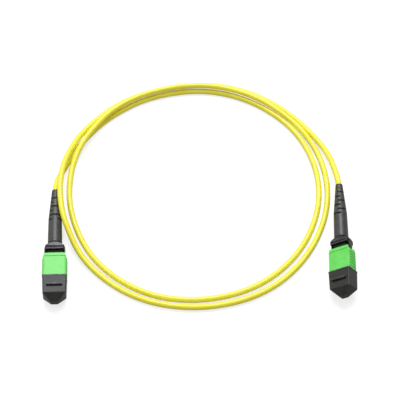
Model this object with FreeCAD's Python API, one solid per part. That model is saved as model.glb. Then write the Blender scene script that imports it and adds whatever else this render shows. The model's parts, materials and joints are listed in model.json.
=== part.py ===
"""Fibre optic patch cord: two multi-fibre push-pull connectors on one round cable, with dust caps on.

Each connector is drawn in its own frame and then set down on the surface: local Y runs along the plug,
from the mating side at the front (-Y) to the cable (+Y), X is across the wide faces, Z is through
them, and Y = 0 is the front edge of the coupling sleeve. All lengths are in millimetres.
"""
import FreeCAD, Part
import math
import os

from FreeCAD import Vector

# ---- shared -------------------------------------------------------------------------------------
slideClearance = 0.1        # each side, between pieces that slide on each other
seatClearance = 0.05        # each side, between pieces that are assembled and then stay put
past = 1.0                  # how far a cutter, or a block that is joined on, runs past the face it meets

# ---- cable --------------------------------------------------------------------------------------
cableDiameter = 3.0
arcShare = 0.45             # share of the shorter run that each bend takes up

# ---- inner housing (the fixed rectangular tube that enters the adapter) -------------------------
housingWidth = 9.4
housingHeight = 5.6
housingCorner = 0.5
housingFront = -4.6         # Y of the front face
housingRear = 13.0          # Y of the rear end
keyWidth = 3.0
keyHeight = 0.6
keySetBack = 0.4            # from the front face
latchPocketDepth = 0.6      # side pockets that the adapter's hooks drop into
latchPocketStart = -1.9
latchPocketLength = 2.4
latchPocketHeight = 3.2

# ---- ferrule ------------------------------------------------------------------------------------
ferruleWidth = 6.4
ferruleHeight = 2.5
ferruleLength = 8.0
ferruleProtrusion = 1.0     # how far the ferrule stands out of the housing
ferruleTravel = 1.0         # how far it is pushed back when mated
shoulderWidth = 7.0
shoulderHeight = 3.1
shoulderLength = 2.0
endFaceAngle = 8.0          # degrees, angled physical contact
guideHoleRadius = 0.35
guideHolePitch = 4.6
fibrePocketWidth = 3.5
fibrePocketHeight = 1.5
fibrePocketDepth = 3.0
glueWindowWidth = 3.0
glueWindowLength = 1.3
glueWindowFromRear = 3.6

# ---- ribbon, rubber ferrule boot, pin clamp -----------------------------------------------------
ribbonWidth = 3.05
ribbonThickness = 0.3
ribbonFlatLength = 12.0
bundleDiameter = 1.4
gatherLength = 4.0
ferruleBootRear = 0.5       # how far the rubber boot stands out behind the pin clamp
clampLength = 2.5
clampPinGap = 0.25          # room round a mating plug's pins in the clamp's window
ribbonEndGap = 0.5          # in front of the stem's end, with the ferrule pushed back

# ---- springs ------------------------------------------------------------------------------------
coilSteps = 10              # straight-sided steps in one turn
flatTurn = 0.7              # part of a turn that lies flat at each end
ferruleSpringWidth = 6.9
ferruleSpringHeight = 3.3
ferruleSpringWire = 0.36
ferruleSpringTurns = 4.5
couplingSpringDiameter = 1.1
couplingSpringWire = 0.2
couplingSpringTurns = 5
couplingSpringLength = 7.9
springChannelFront = 0.9    # Y where the corner channel in the housing starts
springChannelGap = 0.1      # across the channel, on the spring's diameter
springInset = 0.15          # spring to the outside of the arms
lugLength = 2.0             # drive lug of the sleeve, at the front of the channel

# ---- rear housing -------------------------------------------------------------------------------
flangeWidth = housingWidth + 0.2
flangeHeight = housingHeight + 1.3
flangeCorner = 0.4
flangeFront = 15.1
flangeLength = 1.6
domeLength = 2.1
domeProud = 0.1             # how far the dome stands outside the boot
domeShoulderAcross = 0.9    # where the flare steepens, as shares of its radius and length
domeShoulderAlong = 0.4
stemDiameter = 4.4
stemBore = 2.4
stemLength = 6.3
noseInHousing = 3.6         # how far the spring seat reaches in front of the flange
armThickness = 0.5
armSpan = housingWidth + 2 * (armThickness + seatClearance)
armGap = 0.75               # between each arm and the flange's waist
waistWidth = armSpan - 2 * (armThickness + armGap)
armCorner = 0.25            # cut off the arms' outer corners
armRootInset = 0.6          # how far the arms' roots reach into the dome
armRootLength = 1.0
armHeight = 3.0
armFront = 4.8
hookLength = 1.2
hookDepth = 0.45

# ---- crimp ring ---------------------------------------------------------------------------------
crimpWall = 0.4
crimpNeckWall = 0.4
crimpNeckLength = 4.5
crimpShoulder = 0.8         # length of the slope between the ring and its neck
crimpSetBack = 0.2          # from the foot of the stem

# ---- strain relief boot -------------------------------------------------------------------------
bootBaseDiameter = 7.0
bootShoulderDiameter = 6.4
bootTipDiameter = 3.8
bootLength = 32.4
bootTaperLength = 17.5
slotWidth = 0.7
slotPitch = 2.63
slotFirst = 2.8             # first slot, forward of the tip
slotRows = 7
bridgeShare = 0.45          # half width of the bridges between slots, as a share of the radius there

# ---- coupling sleeve ----------------------------------------------------------------------------
sleeveSideWall = 0.25       # outside the arms
sleeveFaceWall = 0.7        # outside the housing's wide faces
sleeveWidth = armSpan + 2 * (slideClearance + sleeveSideWall)
sleeveHeight = housingHeight + 2 * (slideClearance + sleeveFaceWall)
sleeveLength = 11.15
sleeveBevelWidth = 0.4
sleeveBevelHeight = 0.5
sleeveTravel = 2.2
tongueWidth = sleeveWidth - 0.8
tongueLength = 1.4
tongueStep = 0.2            # how far the tongue lies below the wide face
gripRibs = 6
gripRibPitch = 1.6
gripRibProud = 0.2
gripRibWidth = 0.9
gripRibHeight = sleeveHeight - 1.6
gripRibRoot = 0.1           # how deep the ribs are sunk in the sleeve

# ---- dust cap -----------------------------------------------------------------------------------
capRearWidth = sleeveWidth + 0.8
capRearHeight = sleeveHeight + 1.1
capFrontWidth = capRearWidth - 0.5
capFrontHeight = capRearHeight - 0.2
capCorner = 0.6
capLength = 9.8
capGap = 0.05               # between the cap's rim and the sleeve
rimProud = 0.12
rimLength = 0.8
capNoseLength = 4.2
capTipWidth = 3.4
capTipHeight = 2.9
capNoseCavity = 4.0         # depth of the hollow nose in front of the housing
capNoseRoom = 1.1           # each side, round the ferrule in the hollow nose
capRibWidth = 0.7 * capRearWidth
capRibThickness = 1.2
capRibHeight = 0.9
capRibFromFront = 3.8

# ---- how the two connectors lie -----------------------------------------------------------------
rollA = -3.7                # degrees, connector A tipped about its own axis, right side up
rollB = 37.7
yawA = 0.0                  # degrees, connector A turned about Z, clockwise from above
yawB = 5.4
bootTurn = {"a": 0.0, "b": 67.0}    # degrees, each round boot turned on its connector


def restHeight(roll):
    """Height of a connector's axis when its dust cap rests on its rib or on the corner of its rim."""
    across, up = math.sin(math.radians(abs(roll))), math.cos(math.radians(roll))
    rib = capRibWidth / 2 * across + (capRearHeight / 2 + capRibHeight) * up
    corner = capCorner + rimProud / 2
    rim = (capRearWidth / 2 + rimProud - corner) * across + (capRearHeight / 2 + rimProud - corner) * up
    return max(rib, rim + corner)


# Corners of the cable's route, from boot A to boot B: two and a half loose turns. The first turn lies
# inside, passes under the others as it leaves boot A, and the last one lies outside.
cableRoute = [
    (-72.8, 35.9, restHeight(rollA)), (-72.4, 42.2, 4.6), (-69.7, 49.5, 2.4), (-65.6, 58.0, 1.5),
    (-57.9, 70.6, 1.5), (-43.6, 85.2, 1.5), (-20.2, 97.9, 1.5), (11.8, 100.7, 1.5), (40.0, 88.8, 1.5),
    (61.2, 65.5, 1.5), (68.3, 32.4, 1.5), (57.8, -0.1, 1.5), (33.8, -23.4, 1.5), (2.8, -31.6, 1.5),
    (-28.2, -26.5, 1.5), (-53.9, -6.0, 1.5), (-66.2, 23.9, 1.5), (-65.4, 51.2, 3.0), (-56.6, 71.3, 5.0),
    (-37.9, 91.9, 4.9), (-9.2, 101.8, 4.6), (19.0, 100.7, 4.7), (45.8, 86.9, 4.4), (67.9, 61.0, 1.5),
    (72.3, 25.9, 1.5), (58.6, -6.9, 1.5), (33.6, -28.9, 1.5), (0.3, -35.9, 1.5), (-32.7, -28.8, 1.5),
    (-58.4, -6.9, 1.5), (-68.3, 16.9, 7.4), (-70.2, 31.9, 8.7), (-69.8, 43.9, 8.1), (-67.2, 56.6, 6.7),
    (-58.6, 75.9, 2.6), (-37.3, 95.4, 1.5), (-7.2, 104.3, 1.5), (23.0, 102.7, 1.5), (49.9, 88.0, 1.5),
    (70.3, 61.5, 1.9), (75.8, 40.9, 5.8), (76.0, 29.2, restHeight(rollB)),
]

# ---- derived places along the plug --------------------------------------------------------------
ferruleFront = housingFront - ferruleProtrusion
ferruleRear = ferruleFront + ferruleLength
shoulderFront = ferruleRear - shoulderLength
clampRear = ferruleRear + clampLength
seatFront = flangeFront - noseInHousing
flangeRear = flangeFront + flangeLength
bootBase = flangeRear + domeLength
bootTip = bootBase + bootLength
stemEnd = bootBase + stemLength
crimpNeckEnd = stemEnd + crimpNeckLength
cavityWidth = shoulderWidth + 4 * slideClearance
cavityHeight = shoulderHeight + 5 * slideClearance
armInside = armSpan / 2 - armThickness
channelDepth = couplingSpringDiameter + springChannelGap
springAcross = armSpan / 2 - couplingSpringDiameter / 2 - springInset
springUp = housingHeight / 2 - couplingSpringDiameter / 2 - seatClearance
springFront = springChannelFront + slideClearance + lugLength
springRear = springFront + couplingSpringLength


# ---- helpers ------------------------------------------------------------------------------------
def block(width, height, start, end, x=0.0, z=0.0):
    """A box centred on (x, z) that runs from Y start to Y end."""
    corner = Vector(x - width / 2, start, z - height / 2)
    return Part.makeBox(width, end - start, height, corner)


def rod(diameter, start, end, x=0.0, z=0.0):
    """A cylinder along Y."""
    return Part.makeCylinder(diameter / 2, end - start, Vector(x, start, z), Vector(0, 1, 0))


def outline(width, height, radius, y):
    """A rounded rectangle in the plane of Y = y, as a closed wire that starts at the right side."""
    w, h, c = width / 2, height / 2, radius * (1 - math.sqrt(0.5))
    edges = []
    for sx, sz in ((1, 1), (-1, 1), (-1, -1), (1, -1)):
        side = Vector(sx * w, y, sz * (h - radius))
        middle = Vector(sx * (w - c), y, sz * (h - c))
        top = Vector(sx * (w - radius), y, sz * h)
        first, last = (side, top) if sx * sz > 0 else (top, side)
        if edges:
            edges.append(Part.LineSegment(edges[-1].EndPoint, first))
        edges.append(Part.Arc(first, middle, last))
    edges.append(Part.LineSegment(edges[-1].EndPoint, edges[0].StartPoint))
    return Part.Wire([edge.toShape() for edge in edges])


def prism(width, height, radius, start, end):
    """A rounded rectangle carried along Y."""
    return Part.Face(outline(width, height, radius, start)).extrude(Vector(0, end - start, 0))


def frustum(front, rear):
    """A solid with flat sides between two rectangles, each given as (width, height, y)."""
    (w, h, y), (rearW, rearH, rearY) = front, rear
    return Part.makeWedge(-w / 2, y, -h / 2, -rearH / 2, -rearW / 2,
                          w / 2, rearY, h / 2, rearH / 2, rearW / 2)


def drafted(front, rear):
    """A solid between two rounded rectangles, each given as (width, height, radius, y)."""
    return Part.makeLoft([outline(*front), outline(*rear)], True, True)


def turned(profile):
    """A solid of revolution about the plug's axis, from (radius, y) points in order."""
    points = [Vector(radius, y, 0) for radius, y in profile]
    face = Part.Face(Part.makePolygon(points + points[:1]))
    return face.revolve(Vector(0, 0, 0), Vector(0, 1, 0), 360)


def coil(width, height, wire, turns, start, end, x=0.0, z=0.0):
    """A square-section spring wound on an oval, as a ruled loft, its flat end coils at Y start and Y end."""
    rise = end - start - wire
    steps = round(turns * coilSteps)
    sections = []
    for step in range(steps + 1):
        turn = step / coilSteps
        angle = 2 * math.pi * turn
        share = min(max((turn - flatTurn) / (turns - 2 * flatTurn), 0), 1)
        corners = []
        for inset, back in ((0, 0), (0, wire), (wire, wire), (wire, 0)):
            corners.append(Vector(x + (width / 2 - inset) * math.cos(angle), start + rise * share + back,
                                  z + (height / 2 - inset) * math.sin(angle)))
        sections.append(Part.makePolygon(corners + corners[:1]))
    return Part.makeLoft(sections, True, True)


# ---- connector pieces ---------------------------------------------------------------------------
def innerHousing():
    body = prism(housingWidth, housingHeight, housingCorner, housingFront, housingRear)
    key = block(keyWidth, keyHeight + past, housingFront + keySetBack, -slideClearance - capGap,
                z=housingHeight / 2 + (keyHeight - past) / 2)
    opening = block(ferruleWidth + 2 * slideClearance, ferruleHeight + 2 * slideClearance,
                    housingFront - past, housingRear)
    cavity = block(cavityWidth, cavityHeight, shoulderFront - slideClearance, housingRear + past)
    body = body.fuse(key).cut(opening).cut(cavity)
    for side in (-1, 1):
        face = side * (housingWidth / 2)
        latch = block(2 * latchPocketDepth, latchPocketHeight, latchPocketStart,
                      latchPocketStart + latchPocketLength, x=face)
        hook = block(2 * (hookDepth + seatClearance), armHeight + 2 * slideClearance,
                     armFront - seatClearance, armFront + hookLength + 2 * seatClearance, x=face)
        channel = block(channelDepth, channelDepth, springChannelFront, springRear,
                        x=side * springAcross, z=side * -springUp)
        corner = block(2 * channelDepth, 2 * channelDepth, springChannelFront, springRear,
                       x=side * (springAcross + channelDepth / 2),
                       z=side * -(springUp + channelDepth / 2))
        body = body.cut(latch).cut(hook).cut(channel).cut(corner)
    return body


def ferrule():
    front = block(ferruleWidth, ferruleHeight, ferruleFront, ferruleRear)
    shoulder = block(shoulderWidth, shoulderHeight, shoulderFront, ferruleRear)
    body = front.fuse(shoulder)
    # The end face leans back from the lower edge to the upper one.
    lean = ferruleHeight * math.tan(math.radians(endFaceAngle))
    wedge = Part.Face(Part.makePolygon([
        Vector(-ferruleWidth, ferruleFront, -ferruleHeight / 2),
        Vector(-ferruleWidth, ferruleFront + lean, ferruleHeight / 2),
        Vector(-ferruleWidth, ferruleFront - past, ferruleHeight / 2),
        Vector(-ferruleWidth, ferruleFront - past, -ferruleHeight / 2),
        Vector(-ferruleWidth, ferruleFront, -ferruleHeight / 2),
    ])).extrude(Vector(2 * ferruleWidth, 0, 0))
    pocket = block(fibrePocketWidth, fibrePocketHeight, ferruleRear - fibrePocketDepth, ferruleRear + past)
    windowStart = ferruleRear - glueWindowFromRear - glueWindowLength
    window = block(glueWindowWidth, ferruleHeight, windowStart, windowStart + glueWindowLength,
                   z=ferruleHeight / 2 + ribbonThickness)
    body = body.cut(wedge).cut(pocket).cut(window)
    for side in (-1, 1):
        body = body.cut(rod(2 * guideHoleRadius, ferruleFront - past, ferruleRear + past,
                            x=side * guideHolePitch / 2))
    return body


def ferruleBoot():
    body = block(fibrePocketWidth - 2 * seatClearance, fibrePocketHeight - 2 * seatClearance,
                 ferruleRear - fibrePocketDepth, clampRear + ferruleBootRear)
    slot = block(ribbonWidth + 2 * seatClearance, ribbonThickness + 2 * seatClearance,
                 ferruleRear - fibrePocketDepth - past, clampRear + ferruleBootRear + past)
    return body.cut(slot)


def pinClamp():
    # One window lets through the rubber boot and, on both sides of it, a mating plug's pins.
    body = block(shoulderWidth, shoulderHeight, ferruleRear, clampRear)
    width = guideHolePitch + 2 * (guideHoleRadius + clampPinGap)
    window = block(width, fibrePocketHeight + 2 * seatClearance, ferruleRear - past, clampRear + past)
    return body.cut(window)


def fibreRibbon():
    start = ferruleRear - fibrePocketDepth
    gather = start + ribbonFlatLength
    bundle = gather + gatherLength
    inscribed = bundleDiameter * math.sqrt(0.5)
    flat = block(ribbonWidth, ribbonThickness, start, gather)
    waist = frustum((ribbonWidth, ribbonThickness, gather), (inscribed, inscribed, bundle))
    return flat.fuse(waist).fuse(rod(bundleDiameter, bundle, stemEnd - ferruleTravel - ribbonEndGap))


def ferruleSpring():
    return coil(ferruleSpringWidth, ferruleSpringHeight, ferruleSpringWire, ferruleSpringTurns,
                clampRear, seatFront)


def couplingSpring(side):
    return coil(couplingSpringDiameter, couplingSpringDiameter, couplingSpringWire, couplingSpringTurns,
                springFront, springRear, x=side * springAcross, z=side * -springUp)


def rearHousing():
    flange = prism(flangeWidth, flangeHeight, flangeCorner, flangeFront, flangeRear)
    # The dome is a turned flare, cut to the flange's own outline.
    corner = math.hypot(flangeWidth, flangeHeight) / 2
    base = bootBaseDiameter / 2 + domeProud
    flare = turned([(0, flangeRear), (corner, flangeRear),
                    (corner * domeShoulderAcross, flangeRear + domeLength * domeShoulderAlong),
                    (base, bootBase), (0, bootBase)])
    dome = flare.common(prism(flangeWidth, flangeHeight, flangeCorner, flangeRear, bootBase))
    body = flange.fuse(dome)
    # Two snap arms reach forward from sloped shoulders on the dome, clear of the flange's waist.
    reach = armSpan / 2
    root = waistWidth / 2 - armRootInset
    rootRear = bootBase - slideClearance
    shoulder = flangeRear + slideClearance
    tip = armInside - hookDepth
    for side in (-1, 1):
        notch = block(flangeWidth, armHeight + 2 * slideClearance, flangeFront - past, flangeRear,
                      x=side * (waistWidth / 2 + flangeWidth / 2))
        body = body.cut(notch)
        points = [(root, rootRear), (reach - armCorner, shoulder + armCorner), (reach, shoulder - armCorner),
                  (reach, armFront + armCorner), (reach - armCorner, armFront), (tip, armFront + armCorner),
                  (tip, armFront + hookLength), (armInside, armFront + hookLength),
                  (armInside, flangeRear), (root, rootRear - armRootLength)]
        ring = [Vector(side * x, y, -armHeight / 2) for x, y in points]
        arm = Part.Face(Part.makePolygon(ring + ring[:1])).extrude(Vector(0, 0, armHeight))
        body = body.fuse(arm)
    seat = block(cavityWidth - 2 * seatClearance, cavityHeight - 2 * seatClearance, seatFront, flangeFront)
    stem = rod(stemDiameter, bootBase, stemEnd)
    passage = block(ribbonWidth + 4 * slideClearance, bundleDiameter + 4 * slideClearance,
                    seatFront - past, flangeRear)
    return body.fuse(seat).fuse(stem).cut(passage).cut(rod(stemBore, flangeRear - past, stemEnd + past))


def crimpRing():
    inner = stemDiameter / 2 + seatClearance
    neck = cableDiameter / 2 + seatClearance
    foot = bootBase + crimpSetBack
    shoulder = stemEnd + seatClearance
    outer = turned([(0, foot), (inner + crimpWall, foot), (inner + crimpWall, shoulder),
                    (neck + crimpNeckWall, shoulder + crimpShoulder), (neck + crimpNeckWall, crimpNeckEnd),
                    (0, crimpNeckEnd)])
    return outer.cut(rod(2 * inner, bootBase, shoulder)).cut(rod(2 * neck, bootBase, crimpNeckEnd + past))


def strainReliefBoot():
    over = stemDiameter + 2 * crimpWall + 4 * seatClearance
    neck = cableDiameter + 2 * crimpNeckWall + 4 * seatClearance
    bore = cableDiameter + 2 * slideClearance
    taperStart = bootTip - bootTaperLength
    outer = turned([(0, bootBase), (bootBaseDiameter / 2, bootBase), (bootShoulderDiameter / 2, taperStart),
                    (bootTipDiameter / 2, bootTip), (0, bootTip)])
    shoulderEnd = stemEnd + seatClearance + crimpShoulder
    body = outer.cut(rod(over, bootBase - past, shoulderEnd)).cut(rod(bore, bootBase, bootTip + past))
    body = body.cut(rod(neck, bootBase, crimpNeckEnd + slideClearance))
    # Rows of slots, cut from both sides and turned a quarter each time, leave bridges between them.
    for row in range(slotRows):
        centre = bootTip - slotFirst - row * slotPitch
        inward = min((bootTip - centre) / bootTaperLength, 1)
        radius = (bootTipDiameter + (bootShoulderDiameter - bootTipDiameter) * inward) / 2
        bridge = radius * bridgeShare
        outside = radius + past
        for side in (-1, 1):
            cut = block(outside - bridge, 2 * outside, centre - slotWidth / 2, centre + slotWidth / 2,
                        x=side * (outside + bridge) / 2)
            if row % 2:
                cut.rotate(Vector(0, 0, 0), Vector(0, 1, 0), 90)
            body = body.cut(cut)
    return body


def couplingSleeve():
    half = sleeveWidth / 2
    high = sleeveHeight / 2
    flat = half - sleeveBevelWidth
    edge = high - sleeveBevelHeight
    ring = [(half, edge), (flat, high), (-flat, high), (-half, edge),
            (-half, -edge), (-flat, -high), (flat, -high), (half, -edge)]
    points = [Vector(x, 0, z) for x, z in ring]
    body = Part.Face(Part.makePolygon(points + points[:1])).extrude(Vector(0, sleeveLength, 0))
    # Thin tongues carry on behind both wide faces, a step below them.
    length = sleeveLength + tongueLength
    tongues = block(tongueWidth, sleeveHeight - 2 * tongueStep, sleeveLength - past, length)
    body = body.fuse(tongues)
    # Half-round grip ribs across both narrow sides.
    for row in range(gripRibs):
        centre = sleeveLength / 2 + (row - (gripRibs - 1) / 2) * gripRibPitch
        for side in (-1, 1):
            root = side * (half - gripRibRoot)
            arc = Part.Arc(Vector(root, centre - gripRibWidth / 2, -gripRibHeight / 2),
                           Vector(side * (half + gripRibProud), centre, -gripRibHeight / 2),
                           Vector(root, centre + gripRibWidth / 2, -gripRibHeight / 2))
            chord = Part.LineSegment(arc.EndPoint, arc.StartPoint)
            rib = Part.Face(Part.Wire([arc.toShape(), chord.toShape()])).extrude(Vector(0, 0, gripRibHeight))
            body = body.fuse(rib)
    bore = block(housingWidth + 2 * slideClearance, housingHeight + 2 * slideClearance, -past, length + past)
    sides = block(armSpan + 2 * slideClearance, armHeight + 2 * slideClearance, -past, length + past)
    # Only the wide faces carry on past the main body, so the arms stay in view.
    gap = block(2 * sleeveWidth, housingHeight + 2 * slideClearance, sleeveLength, length + past)
    body = body.cut(bore).cut(sides).cut(gap)
    for side in (-1, 1):
        channel = block(channelDepth, channelDepth, springFront, springRear + slideClearance + sleeveTravel,
                        x=side * springAcross, z=side * -springUp)
        lug = block(couplingSpringDiameter, couplingSpringDiameter, springFront - lugLength, springFront,
                    x=side * springAcross, z=side * -springUp)
        body = body.cut(channel).fuse(lug)
    return body


def dustCap():
    rear = -capGap
    front = rear - capLength
    body = drafted((capFrontWidth, capFrontHeight, capCorner, front),
                   (capRearWidth, capRearHeight, capCorner, rear))
    rim = prism(capRearWidth + 2 * rimProud, capRearHeight + 2 * rimProud, capCorner + rimProud / 2,
                rear - rimLength, rear)
    # The nose slopes in from all four sides of the front to a small flat tip.
    tipFront = front - capNoseLength
    nose = frustum((capTipWidth, capTipHeight, tipFront), (capFrontWidth, capFrontHeight, front))
    nose = nose.common(prism(capFrontWidth, capFrontHeight, capCorner, tipFront, front))
    ribStart = front + capRibFromFront
    ribs = block(capRibWidth, capRearHeight + 2 * capRibHeight, ribStart, ribStart + capRibThickness)
    hollowFront = housingFront - slideClearance
    hollow = prism(housingWidth + 2 * slideClearance, housingHeight + 2 * slideClearance,
                   housingCorner, hollowFront, rear + past)
    keyTop = housingHeight / 2 + keyHeight + slideClearance
    keyway = block(keyWidth + 2 * slideClearance, keyTop, hollowFront, rear + past, z=keyTop / 2)
    tip = block(ferruleWidth + 2 * capNoseRoom, ferruleHeight + 2 * capNoseRoom,
                hollowFront - capNoseCavity, hollowFront + past)
    return body.fuse(rim).fuse(nose).fuse(ribs).cut(hollow).cut(keyway).cut(tip)


def connector():
    """All pieces of one connector, by name, in its own frame."""
    return {
        "dust_cap": dustCap(),
        "coupling_sleeve": couplingSleeve(),
        "inner_housing": innerHousing(),
        "ferrule": ferrule(),
        "ferrule_boot": ferruleBoot(),
        "pin_clamp": pinClamp(),
        "fibre_ribbon": fibreRibbon(),
        "ferrule_spring": ferruleSpring(),
        "coupling_spring_left": couplingSpring(-1),
        "coupling_spring_right": couplingSpring(1),
        "rear_housing": rearHousing(),
        "crimp_ring": crimpRing(),
        "strain_relief_boot": strainReliefBoot(),
    }


# ---- setting down -------------------------------------------------------------------------------
def placement(mouth, yaw, roll):
    """Turns a connector and moves it so that the mouth of its boot is at the cable's end."""
    turn = FreeCAD.Rotation(Vector(0, 0, 1), -yaw).multiply(FreeCAD.Rotation(Vector(0, 1, 0), -roll))
    return FreeCAD.Placement(Vector(*mouth) - turn.multVec(Vector(0, bootTip, 0)), turn)


def cable(placements):
    """One round tube: straight runs joined by tangent arcs, and its straight ends inside the boots."""
    corners = [Vector(*point) for point in cableRoute]
    edges, radii, length = [], [], 0.0
    last = corners[0]
    for before, corner, after in zip(corners, corners[1:], corners[2:]):
        back, ahead = before - corner, after - corner
        reach = arcShare * min(back.Length, ahead.Length)
        turn = math.pi - back.getAngle(ahead)
        radius = reach / math.tan(turn / 2)
        back.normalize()
        ahead.normalize()
        start, end = corner + back * reach, corner + ahead * reach
        inward = (back + ahead).normalize()
        middle = corner + inward * (radius / math.cos(turn / 2) - radius)
        edges.append(Part.LineSegment(last, start).toShape())
        edges.append(Part.Arc(start, middle, end).toShape())
        radii.append(radius)
        length += (start - last).Length + radius * turn
        last = end
    edges.append(Part.LineSegment(last, corners[-1]).toShape())
    length += (corners[-1] - last).Length
    direction = corners[1] - corners[0]
    section = Part.Face(Part.Wire(Part.makeCircle(cableDiameter / 2, corners[0], direction)))
    tube = Part.Wire(edges).makePipe(section)
    print("cord radii, mm:", " ".join(f"{radius:.0f}" for radius in radii))
    expected = math.pi * cableDiameter ** 2 / 4 * length
    print(f"cord length {length:.1f} mm, volume {tube.Volume:.1f} of {expected:.1f} mm3")
    inside = rod(cableDiameter, stemEnd, bootTip)
    for place in placements:
        end = inside.copy()
        end.Placement = place
        tube = tube.fuse(end)
    return tube


def main():
    os.makedirs("parts", exist_ok=True)
    placements = {
        "a": placement(cableRoute[0], yawA, rollA),
        "b": placement(cableRoute[-1], yawB, rollB),
    }
    pieces = connector()
    for letter, place in placements.items():
        for name, shape in pieces.items():
            piece = shape.removeSplitter()
            if name == "strain_relief_boot":
                piece.rotate(Vector(0, 0, 0), Vector(0, 1, 0), bootTurn[letter])
            piece.Placement = place.multiply(piece.Placement)
            piece.exportStep(f"parts/{letter}_{name}.step")
    cable(placements.values()).exportStep("parts/fibre_cable.step")


main()
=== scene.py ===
import bmesh
import bpy
import json
import math
import numpy as np
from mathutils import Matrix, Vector


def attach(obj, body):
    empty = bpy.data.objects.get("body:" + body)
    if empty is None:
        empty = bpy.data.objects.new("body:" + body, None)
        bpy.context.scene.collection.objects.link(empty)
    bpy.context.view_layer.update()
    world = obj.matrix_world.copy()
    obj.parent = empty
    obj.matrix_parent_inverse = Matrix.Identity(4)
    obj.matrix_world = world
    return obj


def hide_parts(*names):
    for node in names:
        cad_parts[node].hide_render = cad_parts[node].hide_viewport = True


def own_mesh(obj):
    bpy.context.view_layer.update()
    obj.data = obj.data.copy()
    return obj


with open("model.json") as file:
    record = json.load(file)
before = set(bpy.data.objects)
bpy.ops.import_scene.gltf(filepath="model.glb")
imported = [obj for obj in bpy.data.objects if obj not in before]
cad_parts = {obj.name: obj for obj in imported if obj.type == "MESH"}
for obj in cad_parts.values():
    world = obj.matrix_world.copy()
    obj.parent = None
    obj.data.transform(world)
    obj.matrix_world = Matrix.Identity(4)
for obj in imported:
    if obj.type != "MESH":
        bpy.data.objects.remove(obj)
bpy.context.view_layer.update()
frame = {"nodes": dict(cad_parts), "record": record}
mm = 0.001
print("frame loaded:", len(frame["nodes"]), "nodes")

sleeveFront = 4.6       # millimetres from the plug_body mount back to the sleeve's front edge


def plugFrame(letter):
    # Origin on the axis at the sleeve's front edge; rows of the turn are across, along to the cable, and up.
    mounts = {mount["name"]: mount for mount in frame["record"]["mounts"]}
    body = mounts[letter + "_plug_body"]
    left = np.array(mounts[letter + "_guide_hole_left"]["pos_m"])
    right = np.array(mounts[letter + "_guide_hole_right"]["pos_m"])
    along = -np.array(body["axis"], float)
    along /= np.linalg.norm(along)
    across = right - left
    across -= along * (across @ along)
    across /= np.linalg.norm(across)
    turn = np.array([across, along, np.cross(across, along)])
    return np.array(body["pos_m"]) + along * sleeveFront * mm, turn


plugs = {letter: plugFrame(letter) for letter in "ab"}


def setDown(points, letter):
    # millimetres in a plug's own frame to metres in the row frame: origin + points x turn
    origin, turn = plugs[letter]
    return origin + (np.asarray(points, float) * mm) @ turn


def pickUp(points, letter):
    # the way back, from metres in the row frame to a plug's own millimetres
    origin, turn = plugs[letter]
    return (np.asarray(points, float) - origin) @ turn.T / mm


def readVectors(items, label):
    values = np.empty(len(items) * 3)
    items.foreach_get(label, values)
    return values.reshape(-1, 3)


def addObject(name, data):
    thing = bpy.data.objects.new(name, data)
    bpy.context.scene.collection.objects.link(thing)
    return thing


def aimAt(thing, place, target):
    thing.location = place
    thing.rotation_euler = (Vector(target) - thing.location).to_track_quat("-Z", "Y").to_euler()


cameraView = {"place": (-0.0155, -0.2623, 0.478), "target": (0.0028, 0.0289, 0.0), "lens": 95.4,
              "sensor": 36.0, "nearest": 0.01}

camera = addObject("camera", bpy.data.cameras.new("camera"))
aimAt(camera, cameraView["place"], cameraView["target"])
camera.data.lens = cameraView["lens"]
camera.data.sensor_width = cameraView["sensor"]
camera.data.clip_start = cameraView["nearest"]
bpy.context.scene.camera = camera


cable = {
    "diameter": 3.0,
    "mouth": 51.2,          # of each boot, along its plug
    "order": 3,             # of the spline
    "sides": 10,
    "steps": 14,
    # corners of the route in millimetres, from boot to boot: two and a half loose turns
    "route": [
        (-72.4, 42.2, 4.6), (-69.7, 49.5, 2.4), (-65.6, 58.0, 1.5),
        (-57.9, 70.6, 1.5), (-43.6, 85.2, 1.5), (-20.2, 97.9, 1.5), (11.8, 100.7, 1.5),
        (40.0, 88.8, 1.5), (61.2, 65.5, 1.5), (68.3, 32.4, 1.5), (57.8, -0.1, 1.5),
        (33.8, -23.4, 1.5), (2.8, -31.6, 1.5), (-28.2, -26.5, 1.5), (-53.9, -6.0, 1.5),
        (-66.2, 23.9, 1.5), (-65.4, 51.2, 3.0), (-56.6, 71.3, 5.0), (-37.9, 91.9, 4.9),
        (-9.2, 101.8, 4.6), (19.0, 100.7, 4.7), (45.8, 86.9, 4.4), (67.9, 61.0, 1.5),
        (72.3, 25.9, 1.5), (58.6, -6.9, 1.5), (33.6, -28.9, 1.5), (0.3, -35.9, 1.5),
        (-32.7, -28.8, 1.5), (-58.4, -6.9, 1.5), (-68.3, 16.9, 7.4), (-70.2, 31.9, 8.7),
        (-69.8, 43.9, 8.1), (-67.2, 56.6, 6.7), (-58.6, 75.9, 2.6), (-37.3, 95.4, 1.5),
        (-7.2, 104.3, 1.5), (23.0, 102.7, 1.5), (49.9, 88.0, 1.5), (70.3, 61.5, 1.9),
        (75.8, 40.9, 5.8),
    ],
}

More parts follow.
